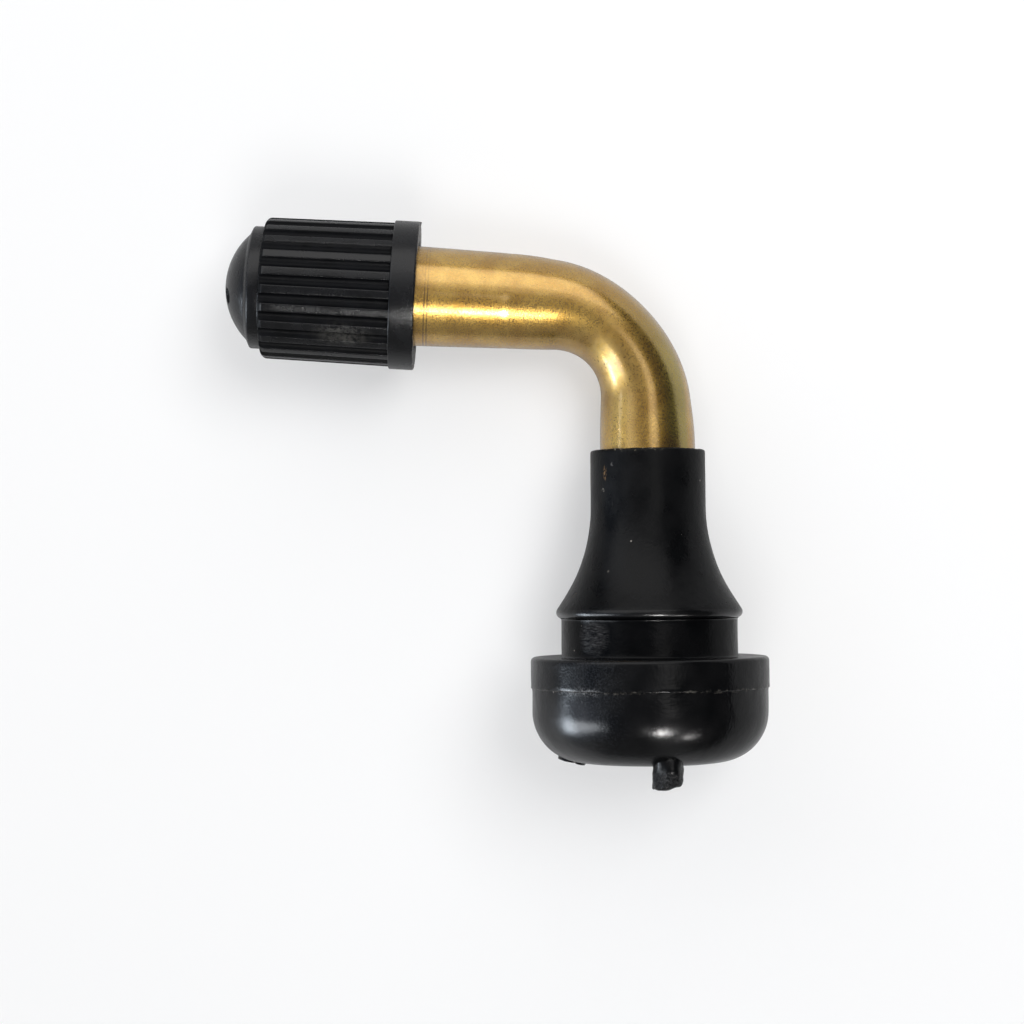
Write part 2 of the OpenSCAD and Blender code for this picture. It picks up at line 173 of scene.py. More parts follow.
# rubber base
baseShape = {
    "headD": 19.9, "headH": 8.7, "headRound": 4.15, "bandH": 2.55, "mouldStep": 0.1, "seatRound": 0.35,
    "grooveD": 14.75, "grooveW": 3.2, "lipD": 15.6, "lipRound": 0.5, "flareAngle": 33, "flareRound": 14,
    "neckD": 9.65, "neckH": 17.2, "neckRound": 0.2, "inletD": 4, "tubeD": 7.95, "anchorD": 11,
    "anchorH": 1.2, "anchorDepth": 6.4, "steps": 216, "longest": 0.3,
    "gateR": 6.6, "gateD": 2.6, "stubL": 1.85, "stubSink": 1.8, "stubTurn": -82,
    "scarTurn": 172, "scarLean": 14, "scarH": 0.22,
    "inletBevel": 0.15, "seatFillet": 0.25, "lipFillet": 0.12,
    "skinSink": 0.03, "skinBroad": 0.018, "skinFine": 0.008,
    "flashW": 0.09, "flashOut": 0.09, "neckTear": 0.05,
}


def baseOutline(s):
    headR = s["headD"] / 2
    bodyR = headR - s["mouldStep"]
    flare = math.radians(s["flareAngle"])
    lipMiddle = (s["lipD"] / 2 - s["lipRound"], s["grooveW"] + s["lipRound"])
    footX = lipMiddle[0] + s["lipRound"] * math.cos(flare)
    footZ = lipMiddle[1] + s["lipRound"] * math.sin(flare)
    blendX = s["neckD"] / 2 + s["flareRound"]
    blendZ = footZ + (s["flareRound"] - math.cos(flare) * (blendX - footX)) / math.sin(flare)
    tubeR = s["tubeD"] / 2
    inletR = s["inletD"] / 2
    points = [(inletR, s["inletBevel"] - s["headH"]), (inletR + s["inletBevel"], -s["headH"])]
    points += arcPoints((bodyR - s["headRound"], s["headRound"] - s["headH"]), s["headRound"], -90, 0, 18)
    points += [(bodyR, -s["bandH"] - 0.05), (headR - 0.03, -s["bandH"]), (headR, 0.06 - s["bandH"])]
    points += arcPoints((headR - s["seatRound"], -s["seatRound"]), s["seatRound"], 0, 90, 6)
    grooveR = s["grooveD"] / 2
    points += arcPoints((grooveR + s["seatFillet"], s["seatFillet"]), s["seatFillet"], -90, -180, 4)
    points += arcPoints((grooveR + s["lipFillet"], s["grooveW"] - s["lipFillet"]), s["lipFillet"], 180, 90, 3)
    points += arcPoints(lipMiddle, s["lipRound"], -90, s["flareAngle"], 8)
    points += arcPoints((blendX, blendZ), s["flareRound"], 180 + s["flareAngle"], 180, 20)
    neckCorner = (s["neckD"] / 2 - s["neckRound"], s["neckH"] - s["neckRound"])
    points += arcPoints(neckCorner, s["neckRound"], 0, 90, 4)
    anchorTop = s["anchorH"] - s["anchorDepth"]
    points += [(tubeR, s["neckH"]), (tubeR, anchorTop + (s["anchorD"] - s["tubeD"]) / 4)]
    points += [(s["anchorD"] / 2, anchorTop), (s["anchorD"] / 2, -s["anchorDepth"])]
    points += [(inletR, -s["anchorDepth"])]
    return points


def makeBase(s):
    bm = bmesh.new()
    spinOutline(bm, fineOutline(baseOutline(s), s["longest"], True), s["steps"], True)
    for v in bm.verts:
        r = math.hypot(v.co.x, v.co.y)
        if r < s["tubeD"] / 2 + 0.01 and v.co.z > 1 - s["anchorDepth"]:
            continue
        out = Vector((v.co.x, v.co.y, 0)).normalized()
        move = s["skinBroad"] * wobble(v.co, 0.5) + s["skinFine"] * wobble(v.co, 1.6, 3) - s["skinSink"]
        # ragged rubber along the mould line
        seam = math.exp(-((v.co.z + s["bandH"]) / s["flashW"]) ** 2)
        if r > s["headD"] / 2 - 0.4:
            move += seam * s["flashOut"] * max(0, wobble(v.co, 1.1, 9) + 0.15)
        v.co += out * min(move, s["headD"] / 2 - 0.004 - r)
        if v.co.z > s["neckH"] - 0.3:
            v.co.z += s["neckTear"] * min(0, wobble(v.co, 0.9, 6))
    return bm


def makeStub(s):
    # the gate's stub: a blunt block, torn off at its end
    bm = bmesh.new()
    turn = math.radians(s["stubTurn"])
    foot = Vector((s["gateR"] * math.cos(turn), s["gateR"] * math.sin(turn), s["stubSink"] - s["headH"]))
    ring = bmesh.ops.create_circle(bm, cap_ends=True, radius=1, segments=44)["verts"]
    angles = [math.atan2(v.co.y, v.co.x) for v in ring]
    edges = [e for e in bm.edges if len(e.link_faces) == 1]
    length = s["stubSink"] + s["stubL"]
    tornEnd = [(0.955, 0.985), (0.978, 0.94), (0.99, 0.86), (0.996, 0.6), (1, 0.3), (1, 0.08)]
    levels = [(i / 16, 1) for i in range(16)] + tornEnd
    for k, (down, wide) in enumerate(levels):
        if k:
            ring, edges = extrudeRing(bm, ring, edges)
        for v, a in zip(ring, angles):
            square = (abs(math.cos(a)) ** 5 + abs(math.sin(a)) ** 5) ** -0.2
            reach = s["gateD"] / 2 * wide * (0.90 + 0.08 * square)
            co = Vector((reach * math.cos(a), reach * math.sin(a), 0))
            tear = smoothStep(0.45, 1, down)
            co.z = -length * down + tear * (0.26 + 0.30 * wobble(co, 1.1, 2) + 0.16 * co.x)
            spot = co + Vector((0, 0, 0.6 * down))
            ragged = 0.17 * wobble(spot, 1.0, 5) + 0.06 * wobble(spot, 3.5, 7)
            co += Vector((math.cos(a), math.sin(a), 0)) * ragged * wide
            v.co = foot + co
    bmesh.ops.holes_fill(bm, edges=edges, sides=0)
    bmesh.ops.recalc_face_normals(bm, faces=bm.faces)
    return bm


def makeScar(s):
    # the other gate is torn away to a thin flap that stands off the head's edge
    bm = bmesh.new()
    place = Matrix.Rotation(math.radians(s["scarTurn"]), 4, "Z")
    place = place @ Matrix.Translation((s["gateR"] - s["headRound"] / 4, 0, s["headRound"] - s["headH"]))
    place = place @ Matrix.Rotation(math.radians(180 - s["scarLean"]), 4, "Y")
    top = s["headRound"] + s["scarH"]
    ring = bmesh.ops.create_circle(bm, cap_ends=True, radius=1, segments=32)["verts"]
    angles = [math.atan2(v.co.y, v.co.x) for v in ring]
    edges = [e for e in bm.edges if len(e.link_faces) == 1]
    levels = ((top - 2.0, 0.96), (top - 0.5, 0.97), (top - 0.1, 0.99), (top, 0.97), (top, 0.6), (top, 0.1))
    for k, (height, wide) in enumerate(levels):
        if k:
            ring, edges = extrudeRing(bm, ring, edges)
        for v, a in zip(ring, angles):
            way = Vector((math.cos(a), math.sin(a), 0))
            reach = s["gateD"] / 2 * wide * (0.93 + 0.10 * wobble(way * 1.3, 1.7, 4))
            dip = min(0, 0.12 * wobble(way * reach, 1.4, 8))
            v.co = place @ (way * reach + Vector((0, 0, height + dip)))
    bmesh.ops.holes_fill(bm, edges=edges, sides=0)
    bmesh.ops.recalc_face_normals(bm, faces=bm.faces)
    return bm


base = makeBase(baseShape)
base = weldSolids(base, makeStub(baseShape))
base = weldSolids(base, makeScar(baseShape))
rubberBase = finishPiece(base, "rubberBase", valveToRow, "valve", "rubber_base")

# brass stem
stemShape = {
    "tubeD": 7.95, "boreD": 3.3, "anchorD": 11, "anchorH": 1.2, "anchorDepth": 6.4, "outletL": 24.1,
    "swellD": 8.45, "threadD": 7.74, "threadL": 9, "reliefW": 0.8, "reliefDepth": 0.42, "tipBevel": 0.4,
    "pitch": 0.79375, "threadDepth": 0.42, "mouthD": 5.5, "coreD": 5.24, "mouthL": 1.3, "steps": 120,
    "seatTop": 7.4, "seatDepth": 7.7, "seatEnd": 9.4, "seatD": 4.7, "chamberD": 4.0, "chamberDepth": 21,
    "chamberEnd": 21.35, "edgeBevel": 0.15,
}


def stemStations(s):
    # each station: its ring's place as a matrix, half depth, half width and length along the tube
    stations = []
    tubeR = s["tubeD"] / 2
    boreR = s["boreD"] / 2
    low = -s["anchorDepth"]
    b = bendShape
    arcL = b["radius"] * bendAngle
    total = arcL + 2 * b["ease"]
    bentEnd = b["start"] - b["ease"] + total
    chamber = s["outletL"] - s["chamberEnd"]
    # the bore, from the core's chamber back round the bend to the foot
    for u in (chamber, chamber / 2):
        stations.append((outletTurn @ Matrix.Translation((0, 0, u)), boreR, boreR, bentEnd + u - b["ease"]))
    for i in range(25):
        turn = bendAngle * (1 - i / 24)
        middle = bendCentre + b["radius"] * Vector((math.cos(turn), 0, math.sin(turn)))
        stations.append((Matrix.Translation(middle) @ Matrix.Rotation(-turn, 4, "Y"), boreR, boreR,
                         b["start"] + b["radius"] * turn))
    # the foot, the straight stem and the bend
    anchorR = s["anchorD"] / 2
    anchorTop = low + s["anchorH"]
    for z, r in ((8, boreR), (low, boreR), (low, anchorR - 0.1), (low + 0.1, anchorR), (anchorTop, anchorR),
                 (anchorTop + (s["anchorD"] - s["tubeD"]) / 4, tubeR),
                 (10, tubeR), (15, tubeR), (16.5, tubeR)):
        stations.append((Matrix.Translation((0, 0, z)), r, r, z))
    rings = 72
    for i in range(rings + 1):
        run = total * i / rings
        turn = min(bendAngle, max(0, (run - b["ease"]) / b["radius"]))
        lead = min(0, run - b["ease"]) + max(0, run - b["ease"] - arcL)
        give = math.sin(math.pi * i / rings) ** 2
        outward = Vector((math.cos(turn), 0, math.sin(turn)))
        onward = Vector((-math.sin(turn), 0, math.cos(turn)))
        middle = bendCentre + (b["radius"] - b["drift"] * give) * outward + lead * onward
        place = Matrix.Translation(middle) @ Matrix.Rotation(-turn, 4, "Y")
        deep = (tubeR - 0.012) * (1 - b["squash"] * give)
        wide = (tubeR - 0.02) * (1 + b["spread"] * give)
        stations.append((place, deep, wide, b["start"] - b["ease"] + run))
    # the outlet, its thread and the seat of the core
    threadStart = s["outletL"] - s["threadL"]
    swellEnd = threadStart - s["reliefW"]
    straight = []
    for i in range(1, 41):
        t = i / 40
        u = b["ease"] + (swellEnd - s["reliefDepth"] - b["ease"]) * t
        straight.append((u, tubeR + (s["swellD"] / 2 - tubeR) * t))
    root = s["threadD"] / 2 - s["reliefDepth"]
    swellR = s["swellD"] / 2
    straight += [(swellEnd - 0.25, swellR), (swellEnd - 0.18, swellR - 0.04), (swellEnd, root)]
    straight += [(threadStart, root)]
    turns = s["threadL"] - s["tipBevel"] - s["reliefDepth"]
    for i in range(97):
        straight.append((threadStart + s["reliefDepth"] + turns * i / 96, s["threadD"] / 2))
    tip = s["outletL"]
    mouthR = s["mouthD"] / 2
    coreR = s["coreD"] / 2
    chamberR = s["chamberD"] / 2
    straight += [(tip, s["threadD"] / 2 - s["tipBevel"]), (tip, mouthR + s["edgeBevel"])]
    straight += [(tip - s["edgeBevel"], mouthR), (tip - s["mouthL"], mouthR)]
    straight += [(tip - s["mouthL"] - 0.2, coreR), (tip - s["seatTop"], coreR)]
    straight += [(tip - s["seatDepth"], s["seatD"] / 2), (tip - s["seatEnd"], chamberR)]
    straight += [(tip - s["chamberDepth"], chamberR), (chamber, boreR)]
    for u, r in straight:
        stations.append((outletTurn @ Matrix.Translation((0, 0, u)), r, r, bentEnd + u - b["ease"]))
    return stations


def makeStem(s):
    bm = bmesh.new()
    straightAt = bm.verts.layers.float_vector.new("straight")
    ring = bmesh.ops.create_circle(bm, cap_ends=False, radius=1, segments=s["steps"])["verts"]
    angles = [math.atan2(v.co.y, v.co.x) for v in ring]
    edges = list(bm.edges)
    bentEnd = bendShape["start"] + bendShape["radius"] * bendAngle
    threadStart = bentEnd + s["outletL"] - s["threadL"]
    for k, (place, deep, wide, along) in enumerate(stemStations(s)):
        if k:
            ring, edges = extrudeRing(bm, ring, edges)
        for v, a in zip(ring, angles):
            cut = 0
            if abs(deep - s["threadD"] / 2) < 1e-6 and along > threadStart:
                # the cap thread winds round the outlet and fades in behind the relief
                step = ((along - threadStart) / s["pitch"] - a / (2 * math.pi)) % 1
                cut = s["threadDepth"] * (1 - abs(2 * step - 1)) * smoothStep(0, 0.9, along - threadStart)
            v.co = place @ Vector(((deep - cut) * math.cos(a), (wide - cut) * math.sin(a), 0))
            v[straightAt] = Vector((deep * math.cos(a), wide * math.sin(a), along)) * mm
    bmesh.ops.remove_doubles(bm, verts=bm.verts, dist=1e-4)
    bmesh.ops.recalc_face_normals(bm, faces=bm.faces)
    return bm


stem = makeStem(stemShape)
brassStem = finishPiece(stem, "brassStem", valveToRow, "valve", "stem")

# ribbed cap
capShape = {
    "flangeD": 12.4, "flangeW": 2.1, "ribD": 12, "ribEndD": 11.75, "ribL": 10.7, "ribs": 24, "ribBevel": 0.5,
    # half a rib's pitch: across, depth
    "flute": (
        (0, 0.40), (0.10, 0.388), (0.20, 0.351), (0.29, 0.288), (0.36, 0.206), (0.405, 0.115),
        (0.435, 0.045), (0.465, 0.012), (0.50, 0), (0.60, 0), (0.785, 0),
    ),
    "ringD": 10.2, "ringW": 1.25, "domeD": 8.9, "domeH": 1.95,
    "pitD": 1.3, "pitDepth": 0.35, "pitOffset": 2.0, "pitTurn": -120, "endWall": 2.2, "skirtD": 8.9,
    "threadL": 5.2, "boreD": 7.84, "gasketT": 1.2, "steps": 480,
}


def capOutline(s):
    ribEnd = s["flangeW"] + s["ribL"]
    ringEnd = ribEnd + s["ringW"]
    capL = ringEnd + s["domeH"]
    depth = capL - s["endWall"]
    domeR = ((s["domeD"] / 2) ** 2 + s["domeH"] ** 2) / (2 * s["domeH"])
    half = math.degrees(math.asin(s["domeD"] / 2 / domeR))
    flangeR = s["flangeD"] / 2
    ribR = s["ribD"] / 2
    endR = s["ribEndD"] / 2
    ringR = s["ringD"] / 2
    skirtL = depth - s["gasketT"] - s["threadL"]
    boreR = s["boreD"] / 2
    skirtR = s["skirtD"] / 2
    points = [(0, depth), (boreR, depth), (boreR, skirtL + 0.3), (skirtR, skirtL)]
    points += [(skirtR, 0.25), (skirtR + 0.15, 0.06), (skirtR + 0.3, 0)]
    points += arcPoints((flangeR - 0.14, 0.14), 0.14, -90, 0, 3)
    points += [(flangeR, 0.2), (flangeR, s["flangeW"] - 0.18)]
    points += arcPoints((flangeR - 0.12, s["flangeW"] - 0.12), 0.12, 0, 90, 3)
    points += [(ribR + 0.03, s["flangeW"]), (ribR, s["flangeW"] + 0.02)]
    for i in range(1, 12):
        rise = (s["ribL"] - s["ribBevel"]) * i / 12
        points.append((ribR + (endR - ribR) * i / 12, s["flangeW"] + 0.02 + rise))
    points += arcPoints((endR - s["ribBevel"], ribEnd - s["ribBevel"]), s["ribBevel"], 0, 80, 6)
    points += [(ringR + 0.06, ribEnd), (ringR, ribEnd + 0.06)]
    points += [(ringR, ringEnd - 0.38), (ringR - 0.06, ringEnd - 0.28)]
    points += [(s["domeD"] / 2 + 0.05, ringEnd - 0.02)]
    points += arcPoints((0, capL - domeR), domeR, 90 - half, 89, 44)
    return points + [(0, capL)]


def makeCap(s):
    bm = bmesh.new()
    spinOutline(bm, fineOutline(capOutline(s), 1.0, False), s["steps"], False)
    ribEnd = s["flangeW"] + s["ribL"]
    pitTurn = math.radians(s["pitTurn"])
    pit = Vector((s["pitOffset"] * math.cos(pitTurn), s["pitOffset"] * math.sin(pitTurn), 0))
    burr = Vector((s["flangeD"] / 2, -0.6, 0))
    pitch = 2 * math.pi / s["ribs"]
    perRib = s["steps"] // s["ribs"]
    halfPitch = s["flute"][-1][0]
    for v in bm.verts:
        r = math.hypot(v.co.x, v.co.y)
        z = v.co.z
        if r < 0.001:
            continue
        # the steps round the cap crowd together at the edges of the flutes
        step = round(math.atan2(v.co.y, v.co.x) * s["steps"] / (2 * math.pi))
        rib = round(step / perRib)
        part = step - rib * perRib
        across, depth = s["flute"][abs(part)]
        a = rib * pitch + math.copysign(across, part) * pitch / 2 / halfPitch
        out = Vector((math.cos(a), math.sin(a), 0))
        if s["flangeW"] + 0.01 < z < ribEnd + 0.02 and r > s["ringD"] / 2 + 0.03:
            surface = s["ribD"] / 2 + (s["ribEndD"] - s["ribD"]) / 2 * (z - s["flangeW"]) / s["ribL"]
            r = min(r, surface - depth)
        v.co = out * r + Vector((0, 0, z))
        if z > ribEnd + s["ringW"] - 0.1:
            reach = (out * r - pit).length
            v.co.z -= s["pitDepth"] * (1 - smoothStep(s["pitD"] * 0.40, s["pitD"] * 0.52, reach))
        if z < 0.1 and r > s["skirtD"] / 2 + 0.2:
            # a burr and a ragged edge round the mouth
            spike = math.exp(-((v.co - burr).length / 0.2) ** 2)
            v.co.z += 0.05 * max(0, wobble(v.co, 1.4, 3)) - 0.16 * spike
    return bm


cap = makeCap(capShape)
bmesh.ops.recalc_face_normals(cap, faces=cap.faces)
capL = sum(capShape[key] for key in ("flangeW", "ribL", "ringW", "domeH"))
capMouth = stemShape["outletL"] + capShape["gasketT"] - (capL - capShape["endWall"])
capTurn = outletTurn @ Matrix.Translation((0, 0, capMouth))
ribbedCap = finishPiece(cap, "ribbedCap", valveToRow @ capTurn, "cap", "cap")

# spring of the valve core
springShape = {
    "coilR": 0.8, "wireD": 0.25, "turns": 11, "top": 4.735, "end": 14.665, "sides": 10, "steps": 28,
    "press": 1.61,
}


def makeSpring(s):
    bm = bmesh.new()
    wireR = s["wireD"] / 2
    foot = Matrix.Translation((s["coilR"], 0, stemShape["outletL"] - s["end"]))
    foot = foot @ Matrix.Rotation(math.pi / 2, 4, "X")
    made = bmesh.ops.create_circle(bm, cap_ends=False, radius=wireR, segments=s["sides"], matrix=foot)
    steps = s["turns"] * s["steps"]
    rise = (s["end"] - s["top"]) / steps
    bmesh.ops.spin(bm, geom=made["verts"] + list(bm.edges), cent=(0, 0, 0), axis=(0, 0, 1), dvec=(0, 0, rise),
                   angle=2 * math.pi * s["turns"], steps=steps)
    bmesh.ops.holes_fill(bm, edges=[e for e in bm.edges if e.is_boundary], sides=0)
    bmesh.ops.recalc_face_normals(bm, faces=bm.faces)
    return bm


spring = makeSpring(springShape)
springPlace = valveToRow @ outletTurn
wireSpring = finishPiece(spring, "wireSpring", springPlace, "valve", "core_spring")


# materials
def newMaterial(name):
    mat = bpy.data.materials.new(name)
    mat.use_nodes = True
    tree = mat.node_tree
    shader = tree.nodes["Principled BSDF"]
    return mat, tree, shader


def addNode(tree, kind, **values):
    node = tree.nodes.new(kind)
    for key, value in values.items():
        setattr(node, key, value)
    return node


def join(tree, a, b):
    tree.links.new(a, b)


def valvePoint(tree, place):
    # Object coordinates turned into the valve's own axes, in millimetres
    coords = addNode(tree, "ShaderNodeTexCoord")
    mapping = addNode(tree, "ShaderNodeMapping", vector_type="POINT")
    back = place.inverted()
    mapping.inputs["Location"].default_value = back.to_translation()
    mapping.inputs["Rotation"].default_value = back.to_euler()
    mapping.inputs["Scale"].default_value = back.to_scale()
    join(tree, coords.outputs["Object"], mapping.inputs["Vector"])
    return mapping.outputs["Vector"]


def mathNode(tree, operation, a, b=None, clamp=False):
    node = addNode(tree, "ShaderNodeMath", operation=operation, use_clamp=clamp)
    for socket, value in zip(node.inputs, (a, b)):
        if value is None:
            continue
        if isinstance(value, (int, float)):
            socket.default_value = value
        else:
            join(tree, value, socket)
    return node.outputs[0]


def times(tree, a, b):
    return mathNode(tree, "MULTIPLY", a, b)


def plus(tree, a, b):
    return mathNode(tree, "ADD", a, b)


def remap(tree, value, low, high, newLow=0.0, newHigh=1.0, smooth=True):
    kind = "SMOOTHSTEP" if smooth else "LINEAR"
    node = addNode(tree, "ShaderNodeMapRange", interpolation_type=kind, clamp=True)
    join(tree, value, node.inputs["Value"])
    node.inputs["From Min"].default_value = low
    node.inputs["From Max"].default_value = high
    node.inputs["To Min"].default_value = newLow
    node.inputs["To Max"].default_value = newHigh
    return node.outputs["Result"]


def noiseValue(tree, vector, scale, detail=3.0, rough=0.5, stretch=None):
    if stretch:
        mapping = addNode(tree, "ShaderNodeMapping")
        mapping.inputs["Scale"].default_value = stretch
        join(tree, vector, mapping.inputs["Vector"])
        vector = mapping.outputs["Vector"]
    node = addNode(tree, "ShaderNodeTexNoise")
    node.inputs["Scale"].default_value = scale
    node.inputs["Detail"].default_value = detail
    node.inputs["Roughness"].default_value = rough
    join(tree, vector, node.inputs["Vector"])
    return node.outputs["Fac"]


def mixColour(tree, factor, a, b):
    node = addNode(tree, "ShaderNodeMix", data_type="RGBA")
    join(tree, factor, node.inputs["Factor"])
    for socket, value in ((node.inputs[6], a), (node.inputs[7], b)):
        if isinstance(value, tuple):
            socket.default_value = (*value, 1)
        else:
            join(tree, value, socket)
    return node.outputs[2]


def splitPoint(tree, point):
    node = addNode(tree, "ShaderNodeSeparateXYZ")
    join(tree, point, node.inputs[0])
    return node.outputs[0], node.outputs[1], node.outputs[2]


def nearPoint(tree, point, centre, inner, outer, stretch=1.0):
    # 1 inside a small ball round a point, 0 outside; stretch draws the ball out along z
    if stretch != 1.0:
        squeeze = addNode(tree, "ShaderNodeMapping")
        squeeze.inputs["Scale"].default_value = (1, 1, 1 / stretch)
        join(tree, point, squeeze.inputs["Vector"])
        point = squeeze.outputs["Vector"]
        centre = (centre[0], centre[1], centre[2] / stretch)
    node = addNode(tree, "ShaderNodeVectorMath", operation="DISTANCE")
    join(tree, point, node.inputs[0])
    node.inputs[1].default_value = centre
    return remap(tree, node.outputs["Value"], inner, outer, 1, 0)


def makeSpeckGroup():
    # sparse light specks, as of dust and lint
    tree = bpy.data.node_groups.new("dustSpecks", "ShaderNodeTree")
    tree.interface.new_socket("Point", in_out="INPUT", socket_type="NodeSocketVector")
    size = tree.interface.new_socket("Spacing", in_out="INPUT", socket_type="NodeSocketFloat")
    size.default_value = 1.0
    share = tree.interface.new_socket("Share", in_out="INPUT", socket_type="NodeSocketFloat")
    share.default_value = 0.2
    tree.interface.new_socket("Mask", in_out="OUTPUT", socket_type="NodeSocketFloat")
    given = addNode(tree, "NodeGroupInput")
    cells = addNode(tree, "ShaderNodeTexVoronoi", feature="F1")
    join(tree, given.outputs["Point"], cells.inputs["Vector"])
    join(tree, given.outputs["Spacing"], cells.inputs["Scale"])
    pick = addNode(tree, "ShaderNodeSeparateColor")
    join(tree, cells.outputs["Color"], pick.inputs[0])
    radius = times(tree, pick.outputs[1], 0.16)
    inside = mathNode(tree, "LESS_THAN", cells.outputs["Distance"], radius)
    chosen = mathNode(tree, "LESS_THAN", pick.outputs[0], given.outputs["Share"])
    shown = addNode(tree, "NodeGroupOutput")
    join(tree, times(tree, inside, chosen), shown.inputs["Mask"])
    return tree


def makeGrainGroup():
    # fine uneven skin: patches for the finish and a height for the bump
    tree = bpy.data.node_groups.new("skinGrain", "ShaderNodeTree")
    tree.interface.new_socket("Point", in_out="INPUT", socket_type="NodeSocketVector")
    fine = tree.interface.new_socket("Fine", in_out="INPUT", socket_type="NodeSocketFloat")
    fine.default_value = 8.0
    broad = tree.interface.new_socket("Broad", in_out="INPUT", socket_type="NodeSocketFloat")
    broad.default_value = 0.5
    tree.interface.new_socket("Height", in_out="OUTPUT", socket_type="NodeSocketFloat")
    tree.interface.new_socket("Patches", in_out="OUTPUT", socket_type="NodeSocketFloat")
    given = addNode(tree, "NodeGroupInput")
    small = addNode(tree, "ShaderNodeTexNoise")
    small.inputs["Detail"].default_value = 4
    join(tree, given.outputs["Point"], small.inputs["Vector"])
    join(tree, given.outputs["Fine"], small.inputs["Scale"])
    large = addNode(tree, "ShaderNodeTexNoise")
    large.inputs["Detail"].default_value = 3
    join(tree, given.outputs["Point"], large.inputs["Vector"])
    join(tree, given.outputs["Broad"], large.inputs["Scale"])
    shown = addNode(tree, "NodeGroupOutput")
    join(tree, small.outputs["Fac"], shown.inputs["Height"])
    join(tree, remap(tree, large.outputs["Fac"], 0.3, 0.7), shown.inputs["Patches"])
    return tree


speckGroup = makeSpeckGroup()
grainGroup = makeGrainGroup()


def useGroup(tree, group, point, **values):
    node = addNode(tree, "ShaderNodeGroup", node_tree=group)
    join(tree, point, node.inputs["Point"])
    for key, value in values.items():
        node.inputs[key].default_value = value
    return node


def addBump(tree, shader, height, strength, distance):
    node = addNode(tree, "ShaderNodeBump")
    node.inputs["Strength"].default_value = strength
    node.inputs["Distance"].default_value = distance
    join(tree, height, node.inputs["Height"])
    join(tree, node.outputs["Normal"], shader.inputs["Normal"])


rubberLook = {
    "dark": (0.0012, 0.0014, 0.0017), "light": (0.0030, 0.0031, 0.0035), "scuff": (0.085, 0.083, 0.084),
    # the haze colour is partly real bloom and partly a painted bluish sheen of the window's reflection
    "hazeAndSheen": (0.050, 0.053, 0.062), "crumb": (0.30, 0.27, 0.20), "residue": (0.20, 0.185, 0.16),
    "dust": (0.30, 0.28, 0.25), "tan": (0.20, 0.12, 0.055), "smear": (0.14, 0.138, 0.14),
    "torn": (0.035, 0.035, 0.036),
    "neckRough": 0.30, "headRough": 0.19, "specular": 0.24, "grooveShadeSpecular": 0.10, "neckSpecular": 0.15,
    "polish": 0.9, "polishRough": 0.25, "bump": 0.4, "bumpDepth": 0.00004,
    "scuffAt": (-5.0, -5.4, 1.8), "smearAt": (-6.6, -7.3, -2.5),
    "frontWornAt": (1.6, -9.3, -6.3), "sideWornAt": (-6.85, -7.0, -5.2),
    # single marks: place, size, length over width, colour
    "marks": (
        ((-3.75, -3.0, 15.2), 0.26, 3.0, "tan"), ((-3.9, -2.8, 13.8), 0.20, 1.0, "dust"),
        ((-3.5, -4.5, 7.0), 0.30, 1.0, "dust"), ((-3.2, -3.6, 15.9), 0.22, 1.0, "scuff"),
    ),
}


